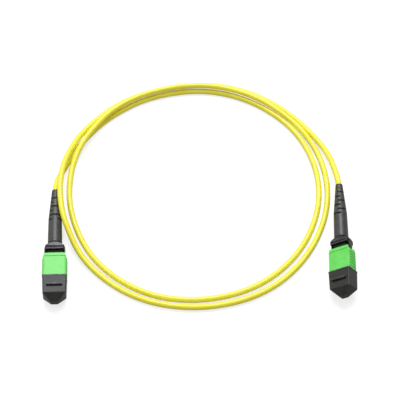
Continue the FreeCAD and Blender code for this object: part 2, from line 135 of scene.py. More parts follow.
def makeCable():
    # a round tube on a NURBS spline through the loose turns, from one boot's mouth to the other's
    start = setDown((0, cable["mouth"], 0), "a")
    end = setDown((0, cable["mouth"], 0), "b")
    points = np.vstack([start, np.array(cable["route"]) * mm, end])
    curve = bpy.data.curves.new("patchCable", "CURVE")
    curve.dimensions = "3D"
    spline = curve.splines.new("NURBS")
    spline.points.add(len(points) - 1)
    spline.points.foreach_set("co", np.hstack([points, np.ones((len(points), 1))]).ravel())
    spline.points.foreach_set("radius", np.full(len(points), cable["diameter"] * mm / 2))
    spline.order_u = cable["order"]
    spline.use_endpoint_u = True
    spline.resolution_u = cable["steps"]
    curve.bevel_depth = 1.0         # times each point's own radius
    curve.bevel_resolution = cable["sides"]
    curve.use_fill_caps = True
    piece = addObject("patchCable", curve)
    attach(piece, "cord")
    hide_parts("fibre_cable")
    return piece


patchCable = makeCable()
print("cable laid")


def feed(tree, socket, value):
    # a link where the value is another node's output, otherwise the socket's own constant
    if isinstance(value, bpy.types.NodeSocket):
        tree.links.new(value, socket)
    elif value is not None:
        socket.default_value = value


def newGroup(name, inputs, outputs):
    # a node group whose sockets are all plain numbers
    group = bpy.data.node_groups.new(name, "ShaderNodeTree")
    for label, value in inputs.items():
        socket = group.interface.new_socket(label, in_out="INPUT", socket_type="NodeSocketFloat")
        socket.default_value = value
    for label in outputs:
        group.interface.new_socket(label, in_out="OUTPUT", socket_type="NodeSocketFloat")
    return group, group.nodes.new("NodeGroupInput").outputs, group.nodes.new("NodeGroupOutput").inputs


def mathNode(tree, operation, first, second=None, clamp=False):
    node = tree.nodes.new("ShaderNodeMath")
    node.operation = operation
    node.use_clamp = clamp
    feed(tree, node.inputs[0], first)
    feed(tree, node.inputs[1], second)
    return node.outputs[0]


def spread(tree, value, low, high, toLow=0.0, toHigh=1.0):
    node = tree.nodes.new("ShaderNodeMapRange")
    node.inputs["From Min"].default_value = low
    node.inputs["From Max"].default_value = high
    node.inputs["To Min"].default_value = toLow
    node.inputs["To Max"].default_value = toHigh
    tree.links.new(value, node.inputs["Value"])
    return node.outputs["Result"]


def noiseNode(tree, place, scale, detail):
    node = tree.nodes.new("ShaderNodeTexNoise")
    node.inputs["Detail"].default_value = detail
    tree.links.new(place, node.inputs["Vector"])
    feed(tree, node.inputs["Scale"], scale)
    return node.outputs["Fac"]


def objectPlace(tree):
    return tree.nodes.new("ShaderNodeTexCoord").outputs["Object"]


effects = {
    "grain": {"size": 9000.0, "cloud": 260.0, "fineDetail": 3.0, "cloudDetail": 4.0, "pits": 0.5},
    "wearAndHighlight": {"sharpness": 0.56, "patches": 900.0, "detail": 2.0, "gain": 14.0, "broken": (0.38, 0.62)},
    "dust": {"amount": 0.3, "specks": 2600.0, "detail": 5.0, "facing": (0.35, 1.0), "grains": (0.45, 0.75)},
    "drawn": {"lines": 9000.0, "stretch": (0.01, 1.0, 0.01), "stains": 700.0, "detail": 2.0},
}


def makeGrainGroup():
    # Fine spark-eroded mould grain: noise and shallow pits for height, and a slow cloud for tone.
    look = effects["grain"]
    group, inside, out = newGroup("mouldGrain", {"Size": look["size"], "Cloud": look["cloud"]},
                                  ("Height", "Tone"))
    place = objectPlace(group)
    fine = noiseNode(group, place, inside["Size"], look["fineDetail"])
    cloud = noiseNode(group, place, inside["Cloud"], look["cloudDetail"])
    pits = group.nodes.new("ShaderNodeTexVoronoi")
    pits.feature = "SMOOTH_F1"
    group.links.new(place, pits.inputs["Vector"])
    group.links.new(inside["Size"], pits.inputs["Scale"])
    pitted = mathNode(group, "MULTIPLY", pits.outputs["Distance"], look["pits"])
    group.links.new(mathNode(group, "ADD", fine, pitted), out["Height"])
    group.links.new(cloud, out["Tone"])
    return group


def makeEdgeWearAndHighlightGroup():
    # Rubbed edges and painted edge highlights: where the surface is sharply convex, broken up by a noise.
    look = effects["wearAndHighlight"]
    group, inside, out = newGroup("rubbedEdgesAndHighlights", {"Sharpness": look["sharpness"], "Patches": look["patches"]},
                                  ("Mask",))
    shape = group.nodes.new("ShaderNodeNewGeometry")
    patches = noiseNode(group, objectPlace(group), inside["Patches"], look["detail"])
    over = mathNode(group, "SUBTRACT", shape.outputs["Pointiness"], inside["Sharpness"])
    edge = mathNode(group, "MULTIPLY", over, look["gain"], clamp=True)
    broken = spread(group, patches, *look["broken"])
    group.links.new(mathNode(group, "MULTIPLY", edge, broken), out["Mask"])
    return group


def makeDustGroup():
    # A little dust that has settled on what faces up.
    look = effects["dust"]
    group, inside, out = newGroup("settledDust", {"Amount": look["amount"], "Specks": look["specks"]},
                                  ("Mask",))
    shape = group.nodes.new("ShaderNodeNewGeometry")
    split = group.nodes.new("ShaderNodeSeparateXYZ")
    group.links.new(shape.outputs["Normal"], split.inputs["Vector"])
    specks = noiseNode(group, objectPlace(group), inside["Specks"], look["detail"])
    facing = spread(group, split.outputs["Z"], *look["facing"])
    grains = spread(group, specks, *look["grains"])
    both = mathNode(group, "MULTIPLY", facing, grains)
    group.links.new(mathNode(group, "MULTIPLY", both, inside["Amount"]), out["Mask"])
    return group


def makeDrawnGroup():
    # Lines left by drawing or turning metal: noise stretched a hundred times along x and z.
    look = effects["drawn"]
    group, inside, out = newGroup("drawnLines", {"Lines": look["lines"]}, ("Height", "Tone"))
    place = objectPlace(group)
    stretch = group.nodes.new("ShaderNodeMapping")
    stretch.inputs["Scale"].default_value = look["stretch"]
    group.links.new(place, stretch.inputs["Vector"])
    lines = noiseNode(group, stretch.outputs["Vector"], inside["Lines"], look["detail"])
    stains = noiseNode(group, place, look["stains"], look["detail"])
    group.links.new(lines, out["Height"])
    group.links.new(stains, out["Tone"])
    return group


grainGroup = makeGrainGroup()
edgeWearAndHighlightGroup = makeEdgeWearAndHighlightGroup()
dustGroup = makeDustGroup()
drawnGroup = makeDrawnGroup()

# what every moulded finish shares, unless it says otherwise; colours are linear
moulded = {"cloud": 320.0, "tone": (0.35, 0.65), "polish": (0.3, 0.7), "patches": 900.0, "sharp": 0.56,
           "wearAndHighlight": 0.5, "specks": 2600.0, "dustColour": (0.42, 0.41, 0.40), "sheen": (1.0, 1.0, 1.0)}

# the tone drifts between dark and colour; worn shows through at rubbed edges, and on the cap its pale colour
# is a painted highlight along the edges
finishes = {
    # painted highlight: the cap's pale worn colour, strong share and low sharpness light up its edges
    "capPlastic": {
        "colour": (0.026, 0.024, 0.020), "dark": (0.017, 0.015, 0.012), "wornAndHighlight": (0.14, 0.137, 0.132),
        "roughness": (0.28, 0.38), "grain": 0.000020, "size": 7000.0, "dust": 0.04, "specular": 0.34,
        "wearAndHighlight": 0.9, "sharp": 0.505, "sheen": (0.90, 0.95, 1.0)},
    "sleevePlastic": {
        "colour": (0.150, 0.770, 0.115), "dark": (0.118, 0.680, 0.088), "wornAndHighlight": (0.42, 0.88, 0.40),
        "roughness": (0.30, 0.42), "grain": 0.000010, "size": 8000.0, "dust": 0.10, "specular": 0.5},
    "housingPlastic": {
        "colour": (0.110, 0.520, 0.120), "dark": (0.080, 0.430, 0.090), "wornAndHighlight": (0.30, 0.70, 0.30),
        "roughness": (0.30, 0.42), "grain": 0.000008, "size": 9000.0, "dust": 0.05, "specular": 0.5},
    "rearPlastic": {
        "colour": (0.026, 0.025, 0.030), "dark": (0.015, 0.015, 0.018), "wornAndHighlight": (0.12, 0.12, 0.14),
        "roughness": (0.24, 0.36), "grain": 0.000006, "size": 9000.0, "dust": 0.05, "specular": 0.62,
        "sheen": (0.90, 0.93, 1.0)},
    # painted shade: a near-black plastic for the rear housing's faces that lie in shadow
    "paintedShadePlastic": {
        "colour": (0.009, 0.009, 0.010), "dark": (0.005, 0.005, 0.006), "wornAndHighlight": (0.05, 0.05, 0.05),
        "roughness": (0.22, 0.32), "grain": 0.000004, "size": 9000.0, "dust": 0.01, "specular": 0.30},
    "ferrulePlastic": {
        "colour": (0.060, 0.056, 0.052), "dark": (0.035, 0.033, 0.031), "wornAndHighlight": (0.16, 0.15, 0.15),
        "roughness": (0.26, 0.40), "grain": 0.000006, "size": 14000.0, "dust": 0.0, "specular": 0.5},
    "bootRubber": {
        "colour": (0.043, 0.042, 0.041), "dark": (0.026, 0.025, 0.025), "wornAndHighlight": (0.10, 0.10, 0.10),
        "roughness": (0.36, 0.48), "grain": 0.000026, "size": 5200.0, "dust": 0.07, "specular": 0.6},
}


def groupNode(tree, group, **values):
    node = tree.nodes.new("ShaderNodeGroup")
    node.node_tree = group
    for label, value in values.items():
        node.inputs[label].default_value = value
    return node.outputs


def mixColour(tree, factor, first, second):
    node = tree.nodes.new("ShaderNodeMix")
    node.data_type = "RGBA"
    tree.links.new(factor, node.inputs["Factor"])
    for socket, value in ((node.inputs["A"], first), (node.inputs["B"], second)):
        feed(tree, socket, (*value, 1.0) if isinstance(value, tuple) else value)
    return node.outputs["Result"]


def startMaterial(name):
    material = bpy.data.materials.new(name)
    material.use_nodes = True
    return material, material.node_tree, material.node_tree.nodes["Principled BSDF"]


def addBump(tree, shader, height, distance):
    bump = tree.nodes.new("ShaderNodeBump")
    bump.inputs["Distance"].default_value = distance
    bump.inputs["Strength"].default_value = 1.0
    tree.links.new(height, bump.inputs["Height"])
    tree.links.new(bump.outputs["Normal"], shader.inputs["Normal"])


def makeMoulded(name):
    # Moulded plastic or rubber: cloudy tone, mould grain, rubbed edges with painted edge highlights, and
    # settled dust.
    look = {**moulded, **finishes[name]}
    material, tree, shader = startMaterial(name)
    grain = groupNode(tree, grainGroup, Size=look["size"], Cloud=look["cloud"])
    wearAndHighlight = groupNode(tree, edgeWearAndHighlightGroup, Sharpness=look["sharp"], Patches=look["patches"])
    dust = groupNode(tree, dustGroup, Amount=look["dust"], Specks=look["specks"])
    colour = mixColour(tree, spread(tree, grain["Tone"], *look["tone"]), look["dark"], look["colour"])
    # paler at sharp edges: rubbed wear, and on the cap a painted highlight
    colour = mixColour(tree, mathNode(tree, "MULTIPLY", wearAndHighlight["Mask"], look["wearAndHighlight"]), colour, look["wornAndHighlight"])
    colour = mixColour(tree, dust["Mask"], colour, look["dustColour"])
    roughness = spread(tree, grain["Tone"], *look["polish"], *look["roughness"])
    tree.links.new(colour, shader.inputs["Base Color"])
    tree.links.new(roughness, shader.inputs["Roughness"])
    shader.inputs["Specular IOR Level"].default_value = look["specular"]
    shader.inputs["Specular Tint"].default_value = (*look["sheen"], 1.0)
    addBump(tree, shader, grain["Height"], look["grain"])
    return material


metalSkin = {"tone": (0.35, 0.7), "polish": (0.3, 0.7), "smoother": 0.06, "rougher": 0.08, "bump": 0.000006}
metals = {
    "clampSteel": {
        "colour": (0.60, 0.60, 0.61), "stain": (0.48, 0.47, 0.46), "roughness": 0.26, "lines": 9000.0},
    "springSteel": {
        "colour": (0.56, 0.56, 0.58), "stain": (0.42, 0.41, 0.40), "roughness": 0.24, "lines": 14000.0},
    "crimpMetal": {
        "colour": (0.68, 0.66, 0.60), "stain": (0.50, 0.47, 0.40), "roughness": 0.30, "lines": 7000.0},
}


def makeMetal(name):
    # Bright metal with drawn lines and faint stains.
    look = {**metalSkin, **metals[name]}
    material, tree, shader = startMaterial(name)
    drawn = groupNode(tree, drawnGroup, Lines=look["lines"])
    colour = mixColour(tree, spread(tree, drawn["Tone"], *look["tone"]), look["colour"], look["stain"])
    roughness = spread(tree, drawn["Height"], *look["polish"], look["roughness"] - look["smoother"],
                       look["roughness"] + look["rougher"])
    tree.links.new(colour, shader.inputs["Base Color"])
    tree.links.new(roughness, shader.inputs["Roughness"])
    shader.inputs["Metallic"].default_value = 1.0
    addBump(tree, shader, drawn["Height"], look["bump"])
    return material


jacketLook = {"colour": (0.950, 0.880, 0.040), "deep": (0.910, 0.810, 0.018), "roughness": (0.30, 0.40),
              "ripple": 0.000012, "size": 2600.0, "cloud": 140.0, "tone": (0.35, 0.65), "polish": (0.3, 0.7),
              "dust": 0.02, "specks": 2200.0, "dustColour": (0.95, 0.93, 0.80), "specular": 0.8,
              "scatter": 0.35, "scatterReach": (1.0, 0.8, 0.2), "scatterScale": 0.0012}


def makeJacket():
    # Extruded jacket: faint ripples, a slow drift of tone and a satin skin that light sinks into a little.
    look = jacketLook
    material, tree, shader = startMaterial("cableJacket")
    grain = groupNode(tree, grainGroup, Size=look["size"], Cloud=look["cloud"])
    dust = groupNode(tree, dustGroup, Amount=look["dust"], Specks=look["specks"])
    colour = mixColour(tree, spread(tree, grain["Tone"], *look["tone"]), look["deep"], look["colour"])
    colour = mixColour(tree, dust["Mask"], colour, look["dustColour"])
    roughness = spread(tree, grain["Tone"], *look["polish"], *look["roughness"])
    tree.links.new(colour, shader.inputs["Base Color"])
    tree.links.new(roughness, shader.inputs["Roughness"])
    shader.inputs["Specular IOR Level"].default_value = look["specular"]
    shader.inputs["Subsurface Weight"].default_value = look["scatter"]
    shader.inputs["Subsurface Radius"].default_value = look["scatterReach"]
    shader.inputs["Subsurface Scale"].default_value = look["scatterScale"]
    addBump(tree, shader, grain["Height"], look["ripple"])
    return material


ribbonLook = {"fibres": 12, "pitch": 0.25, "roughness": 0.22, "valleys": 0.00005, "hues": [
    (0.02, 0.12, 0.60), (0.85, 0.22, 0.02), (0.02, 0.36, 0.08), (0.20, 0.09, 0.04), (0.22, 0.24, 0.26),
    (0.85, 0.85, 0.85), (0.65, 0.02, 0.02), (0.02, 0.02, 0.02), (0.85, 0.70, 0.03), (0.26, 0.04, 0.40),
    (0.85, 0.30, 0.38), (0.05, 0.60, 0.62)]}


def makeRibbon(letter):
    # Twelve coated fibres side by side, each in its own hue, told apart by how far across the plug they lie.
    look = ribbonLook
    material, tree, shader = startMaterial("fibreRibbon_" + letter)
    origin, turn = plugs[letter]
    across = tree.nodes.new("ShaderNodeVectorMath")
    across.operation = "DOT_PRODUCT"
    across.inputs[1].default_value = tuple(turn[0])
    tree.links.new(objectPlace(tree), across.inputs[0])
    shift = float(origin @ turn[0])
    half = look["fibres"] * look["pitch"] * mm / 2
    share = spread(tree, across.outputs["Value"], shift - half, shift + half)
    ramp = tree.nodes.new("ShaderNodeValToRGB")
    ramp.color_ramp.interpolation = "CONSTANT"
    for number, hue in enumerate(look["hues"]):
        spot = number / look["fibres"]
        stop = ramp.color_ramp.elements[0] if number == 0 else ramp.color_ramp.elements.new(spot)
        stop.position = spot
        stop.color = (*hue, 1.0)
    ramp.color_ramp.elements.remove(ramp.color_ramp.elements[-1])
    tree.links.new(share, ramp.inputs["Fac"])
    tree.links.new(ramp.outputs["Color"], shader.inputs["Base Color"])
    wave = mathNode(tree, "SINE", mathNode(tree, "MULTIPLY", share, math.pi * look["fibres"]))
    shader.inputs["Roughness"].default_value = look["roughness"]
    addBump(tree, shader, mathNode(tree, "ABSOLUTE", wave), look["valleys"])
    return material


glassLook = {"colour": (0.55, 0.62, 0.66), "pale": (0.78, 0.84, 0.86), "size": 20000.0, "cloud": 9000.0,
             "tone": (0.4, 0.6), "roughness": 0.06}


def makeGlassEnd():
    # Polished ends of the fibres, pale and a little cloudy.
    look = glassLook
    material, tree, shader = startMaterial("fibreEnd")
    grain = groupNode(tree, grainGroup, Size=look["size"], Cloud=look["cloud"])
    colour = mixColour(tree, spread(tree, grain["Tone"], *look["tone"]), look["colour"], look["pale"])
    tree.links.new(colour, shader.inputs["Base Color"])
    shader.inputs["Roughness"].default_value = look["roughness"]
    shader.inputs["Coat Weight"].default_value = 1.0
    return material


looks = {name: makeMoulded(name) for name in finishes}
looks["jacket"] = makeJacket()
looks.update({name: makeMetal(name) for name in metals})
looks["fibreEnd"] = makeGlassEnd()
patchCable.data.materials.append(looks["jacket"])
print("materials made")


# metres at which corners are joined and slivers dropped; level, crease and bevelFrom are in degrees
meshLook = {"seam": 2e-7, "sliver": 1e-8, "solidSeam": 1e-6, "level": 1.0, "crease": 32.0, "bevelFrom": 30.0,
            "bevelSteps": 2}


def quads(rows, columns, wrapRows, wrapColumns, start):
    # corner numbers of every cell of a grid, as one array
    index = np.arange(rows * columns).reshape(rows, columns) + start
    if wrapRows:
        index = np.vstack([index, index[:1]])
    if wrapColumns:
        index = np.hstack([index, index[:, :1]])
    return np.stack([index[:-1, :-1], index[:-1, 1:], index[1:, 1:], index[1:, :-1]], -1)


def shade(mesh, crease):
    # smooth faces, with creases left where they meet sharply
    mesh.polygons.foreach_set("use_smooth", np.ones(len(mesh.polygons), bool))
    mesh.set_sharp_from_angle(angle=math.radians(crease))


def roundEdges(piece, width, fromAngle):
    edges = piece.modifiers.new("softEdges", "BEVEL")
    edges.width = width * mm
    edges.segments = meshLook["bevelSteps"]
    edges.limit_method = "ANGLE"
    edges.angle_limit = math.radians(fromAngle)


def makePiece(name, letter, grids, material, body, replaced=(), sharp=meshLook["crease"]):
    # Grids are (points, wrapRows, wrapColumns, kept cells or None) in the plug's own millimetres.
    points, faces, count = [], [], 0
    for grid, wrapRows, wrapColumns, kept in grids:
        cells = quads(grid.shape[0], grid.shape[1], wrapRows, wrapColumns, count)
        faces.append(cells.reshape(-1, 4) if kept is None else cells[kept])
        points.append(grid.reshape(-1, 3))
        count += grid.shape[0] * grid.shape[1]
    mesh = bpy.data.meshes.new(name)
    mesh.from_pydata(setDown(np.vstack(points), letter), [], np.vstack(faces))
    # poles and seams are merged, and normals turned outwards
    work = bmesh.new()
    work.from_mesh(mesh)
    bmesh.ops.remove_doubles(work, verts=work.verts, dist=meshLook["seam"])
    bmesh.ops.dissolve_degenerate(work, edges=work.edges, dist=meshLook["sliver"])
    bmesh.ops.recalc_face_normals(work, faces=work.faces)
    work.to_mesh(mesh)
    work.free()
    shade(mesh, sharp)
    mesh.materials.append(material)
    piece = addObject(name, mesh)
    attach(piece, body)
    if replaced:
        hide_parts(*replaced)
    return piece


ringLook = {"cornerSteps": 6, "endSteps": 4, "cornerShare": 0.5, "leastCorner": 0.02}


def ringPoints(width, height, corner, sideLines=(), faceLines=()):
    # Rounded rectangles, one per row: a corner is a quarter circle about (half width - r, half height - r),
    # and the straight sides carry extra points at the given heights and places across.
    width, height, corner = (np.atleast_1d(np.asarray(v, float))[:, None] for v in (width, height, corner))
    rows = max(width.shape[0], height.shape[0], corner.shape[0])
    w, h, r = (np.broadcast_to(v, (rows, 1)) for v in (width / 2, height / 2, corner))

    def alongSide(lines, reach, falling):
        # the places in the ring's own direction, none of them past the straight side's ends
        places = np.sort(np.clip(np.asarray(lines, float)[None, :], -reach, reach), 1)
        return places[:, ::-1] if falling else places

    parts = []
    for number, (sx, sz) in enumerate(((1, 1), (-1, 1), (-1, -1), (1, -1))):
        angle = np.linspace(number, number + 1, ringLook["cornerSteps"] + 1)[None, :] * math.pi / 2
        parts.append(np.stack([sx * (w - r) + r * np.cos(angle), sz * (h - r) + r * np.sin(angle)], -1))
        if number % 2 == 0 and len(faceLines):      # along a wide face
            across = alongSide(faceLines, w - r, sz > 0)
            parts.append(np.stack([across, np.broadcast_to(sz * h, across.shape)], -1))
        if number % 2 == 1 and len(sideLines):      # along a narrow side
            up = alongSide(sideLines, h - r, sx < 0)
            parts.append(np.stack([np.broadcast_to(sx * w, up.shape), up], -1))
    return np.concatenate(parts, 1)


def stationGrid(stations, **lines):
    # stations are rows of (y, width, height, corner); a pole has no width and no height
    stations = np.array(stations, float)
    ring = ringPoints(stations[:, 1], stations[:, 2], stations[:, 3], **lines)
    along = np.broadcast_to(stations[:, :1], ring.shape[:2])
    return np.stack([ring[..., 0], along, ring[..., 1]], -1)


def roundedEnd(y, width, height, corner, edge, direction):
    # the last stations before an end at y, where the edge turns over in a quarter circle
    turn = np.linspace(0, math.pi / 2, ringLook["endSteps"] + 1)
    inset = edge * (1 - np.cos(turn))
    place = y - direction * edge * (1 - np.sin(turn))
    corners = np.maximum(corner - inset * ringLook["cornerShare"], ringLook["leastCorner"])
    return np.stack([place, width - 2 * inset, height - 2 * inset, corners], -1)


def bar(width, height, corner, start, end, edge, z):
    # a rounded bar along the plug, closed by a pole at each end
    front = roundedEnd(start, width, height, corner, edge, -1)[::-1]
    rear = roundedEnd(end, width, height, corner, edge, 1)
    grid = stationGrid(np.vstack([[start, 0, 0, 0], front, rear, [end, 0, 0, 0]]))
    return grid + np.array([0, 0, z]), False, True, None


boot = {"base": 18.8, "tip": 51.2, "baseDiameter": 7.3, "shoulderDiameter": 6.9, "tipDiameter": 3.7,
        "taper": 17.5, "bore": 3.2, "chamferAlong": 0.6, "chamferIn": 0.55, "turn": {"a": 0.0, "b": 67.0},
        "slotWidth": 0.7, "slotPitch": 2.63, "slotFirst": 2.8, "slotRows": 7, "slotHalfAngle": 63.0,
        "columns": 120, "plainRows": 12, "plainEnd": 1.0, "tipRow": 0.9, "softening": 0.09, "sharp": 40.0}


def bootRadius(y):
    # a chamfer at the base, a slow taper to the shoulder, then a quicker one to the tip
    shoulder = boot["tip"] - boot["taper"]
    return np.interp(y, [boot["base"], boot["base"] + boot["chamferAlong"], shoulder, boot["tip"]],
                     [boot["baseDiameter"] / 2 - boot["chamferIn"], boot["baseDiameter"] / 2,
                      boot["shoulderDiameter"] / 2, boot["tipDiameter"] / 2])


def makeBoot(letter):
    # Outer skin: radius of y, times cosine and sine of the angle round the axis. The cells of the slots are
    # left out, a quarter turn on from row to row, and the wall is then given its thickness inwards.
    firstSlot = boot["tip"] - boot["slotFirst"]
    centres = firstSlot - boot["slotPitch"] * np.arange(boot["slotRows"])
    edges = np.concatenate([centres - boot["slotWidth"] / 2, centres + boot["slotWidth"] / 2])
    plain = np.linspace(boot["base"], centres[-1] - boot["plainEnd"], boot["plainRows"])
    single = [boot["base"] + boot["chamferAlong"], boot["tip"] - boot["tipRow"], boot["tip"]]
    between = [centres + boot["slotPitch"] / 2, centres - boot["slotPitch"] / 2]
    y = np.unique(np.concatenate([plain, edges, *between, single]).round(4))
    angle = np.arange(boot["columns"]) * 2 * math.pi / boot["columns"]
    turned = angle - math.radians(boot["turn"][letter])
    radius = bootRadius(y)[:, None]
    grid = np.stack([radius * np.cos(turned), np.broadcast_to(y[:, None], (len(y), len(angle))),
                     radius * np.sin(turned)], -1)
    middleY = (y[:-1] + y[1:]) / 2
    row = np.round((firstSlot - middleY) / boot["slotPitch"])
    inRow = np.abs(middleY - (firstSlot - row * boot["slotPitch"])) < boot["slotWidth"] / 2
    inRow &= (row >= 0) & (row < boot["slotRows"])
    middleAngle = np.degrees(angle) + 180 / boot["columns"]
    fromSide = np.abs((middleAngle + 90) % 180 - 90)        # from the nearer of the two narrow sides
    fromCut = np.where((row % 2 == 0)[:, None], fromSide[None, :], 90 - fromSide[None, :])
    kept = ~(inRow[:, None] & (fromCut < boot["slotHalfAngle"]))
    piece = makePiece(letter + "_slottedBoot", letter, [(grid, False, True, kept)], looks["bootRubber"],
                      "cord", [letter + "_strain_relief_boot"], sharp=boot["sharp"])
    # Wall thickness reaches in to the bore, so it is a share of the thickest wall.
    local = pickUp(readVectors(piece.data.vertices, "co"), letter)
    wall = (np.hypot(local[:, 0], local[:, 2]) - boot["bore"] / 2).round(3)
    group = piece.vertex_groups.new(name="wall")
    thickest = boot["baseDiameter"] / 2 - boot["bore"] / 2
    for level in np.unique(wall):       # one ring of points at a time
        group.add(np.flatnonzero(wall == level).tolist(), float(level / thickest), "REPLACE")
    solid = piece.modifiers.new("wall", "SOLIDIFY")
    solid.thickness = thickest * mm
    solid.offset = -1.0
    solid.vertex_group = "wall"
    solid.use_rim = True
    roundEdges(piece, boot["softening"], boot["sharp"])
    return piece


# a groove's slope runs from its lip to its foot, both in half widths from its middle line
sleeve = {"width": 11.6, "height": 7.2, "length": 11.15, "corner": 0.45, "edge": 0.22, "rows": 121,
          "boreWidth": 9.6, "boreHeight": 5.8, "boreCorner": 0.1, "armWidth": 10.7, "armHeight": 3.2,
          "ribs": 6, "ribPitch": 1.6, "ribProud": 0.42, "ribWidth": 0.9, "ribHeight": 5.6, "ribEnd": 0.12,
          "ribCrown": 0.7, "sideLines": (0.0, 0.8, 2.4, 3.0), "tongueWidth": 11.0, "tongueLength": 1.4,
          "tongueStep": 0.2, "tongueRoot": 0.5, "tongueEdge": 0.1,
          "grooveAcross": 5.1, "grooveFromRear": 0.5, "grooveHalf": 0.13, "grooveSide": 0.12,
          "grooveRear": 0.28, "grooveLip": 1.6, "grooveFoot": 0.8, "grooveRearLip": 2.2}
hair = 0.01             # millimetres between two lines that make a step
touch = 1e-6            # slack when asking whether a point lies on a face


def makeSleeve(letter):
    # Outside and bore as one closed ring of stations; on the narrow sides the ribs are raised by a half
    # cosine of the distance from each rib's middle line, to the power of their crown.
    s = sleeve
    edge, arm, rib = s["edge"], s["armHeight"] / 2, s["ribHeight"] / 2
    lines = np.array([*s["sideLines"], arm, arm + hair, rib - s["ribEnd"], rib])
    lines = np.unique(np.concatenate([-lines, lines]))
    front = roundedEnd(0, s["width"], s["height"], s["corner"], edge, -1)[::-1]
    rear = roundedEnd(s["length"], s["width"], s["height"], s["corner"], edge, 1)
    middle = np.linspace(edge, s["length"] - edge, s["rows"])[1:-1, None]
    body = np.hstack([middle, np.broadcast_to([s["width"], s["height"], s["corner"]], (len(middle), 3))])
    at, half, slope = s["grooveAcross"], s["grooveHalf"], s["grooveLip"] - s["grooveFoot"]
    across = at + half * np.array([-s["grooveLip"], -s["grooveFoot"], s["grooveFoot"], s["grooveLip"]])
    across = np.concatenate([-across, across])
    outside = stationGrid(np.vstack([front, body, rear]), sideLines=lines, faceLines=across)
    x, y, z = (outside[..., number].copy() for number in range(3))
    first = s["length"] / 2 - (s["ribs"] - 1) / 2 * s["ribPitch"]
    away = np.abs((y - first + s["ribPitch"] / 2) % s["ribPitch"] - s["ribPitch"] / 2)
    inRange = (y > first - s["ribPitch"] / 2) & (y < s["length"] - first + s["ribPitch"] / 2)
    rise = np.cos(np.clip(away / (s["ribWidth"] / 2), 0, 1) * math.pi / 2) ** s["ribCrown"] * inRange
    ends = np.clip((rib - np.abs(z)) / s["ribEnd"], 0, 1)
    onSide = np.abs(x) > s["width"] / 2 - touch
    x += np.sign(x) * s["ribProud"] * rise * ends * onSide
    # a shallow groove frames each wide face: along both long edges and in front of the tongue
    onFace = np.abs(z) > s["height"] / 2 - touch
    alongEdge = np.clip((s["grooveLip"] - np.abs(np.abs(x) - at) / half) / slope, 0, 1) * s["grooveSide"]
    fromRear = np.abs(y - s["length"] + s["grooveFromRear"]) / half
    behind = np.clip((s["grooveRearLip"] - fromRear) / slope, 0, 1) * s["grooveRear"]
    behind = behind * (np.abs(x) < at + half)
    z -= np.sign(z) * np.maximum(alongEdge, behind) * onFace
    bore = [s["boreWidth"], s["boreHeight"], s["boreCorner"]]
    inside = stationGrid([[s["length"], *bore], [0.0, *bore]], sideLines=lines, faceLines=across)
    reach = np.abs(inside[..., 2]) <= arm + touch
    inside[..., 0] = np.where(reach, np.sign(inside[..., 0]) * s["armWidth"] / 2, inside[..., 0])
    grids = [(np.vstack([np.stack([x, y, z], -1), inside]), True, True, None)]
    thick = (s["height"] - s["boreHeight"]) / 2 - s["tongueStep"]
    for side in (-1, 1):
        start, end = s["length"] - s["tongueRoot"], s["length"] + s["tongueLength"]
        grids.append(bar(s["tongueWidth"], thick, s["tongueEdge"], start, end, s["tongueEdge"],
                         side * (s["boreHeight"] + thick) / 2))
    return makePiece(letter + "_ribbedSleeve", letter, grids, looks["sleevePlastic"], letter + "_sleeve",
                     [letter + "_coupling_sleeve"])


cap = {
    "rear": -0.05, "length": 9.8, "nose": 4.2, "rimLength": 0.8, "hollowFront": -4.7, "cavityDepth": 4.0,
    # width and height of each part of the skin
    "tip": (3.4, 2.9), "front": (11.5, 8.1), "body": (12.0, 8.3), "rim": (12.24, 8.54),
    "hollow": (9.6, 5.8), "cavity": (8.6, 4.7),
    "corner": 0.6, "tipCorner": 0.3, "slopeRings": (0.035, 0.10, 0.16, 0.5, 0.89, 0.95),
    # rings of the skin before and behind the sloped faces: place, how far behind it, part, how much larger
    # than the part in width and height, and corner radius
    "tipRings": [("tip", 0.0, "tip", -0.50, 0.15), ("tip", 0.03, "tip", -0.12, 0.25)],
    "skinRings": [
        ("front", -0.06, "front", -0.10, 0.6), ("front", 0.16, "front", 0.0, 0.6),
        ("front", 0.32, "front", 0.01, 0.6), ("rim", -0.20, "body", 0.0, 0.6),
        ("rim", -0.02, "body", 0.0, 0.6), ("rim", 0.05, "rim", 0.0, 0.66),
        ("rear", -0.08, "rim", 0.0, 0.66), ("rear", 0.0, "rim", -0.12, 0.6),
        ("rear", 0.0, "hollow", 0.2, 0.6), ("rear", -0.12, "hollow", 0.0, 0.5),
        ("hollow", 0.0, "hollow", 0.0, 0.5), ("hollow", 0.0, "cavity", 0.0, 0.2),
        ("cavity", 0.0, "cavity", 0.0, 0.2)],
    "edgeLine": 0.16, "keyWidth": 3.2, "keyTop": 3.5,
    "ribWidth": 7.9, "ribThick": 1.2, "ribHigh": (0.9, 1.15), "ribFromFront": 3.8, "ribSunk": 1.0,
    "ribCorner": 0.18, "ribEdge": 0.14, "sharp": 38.0,
}


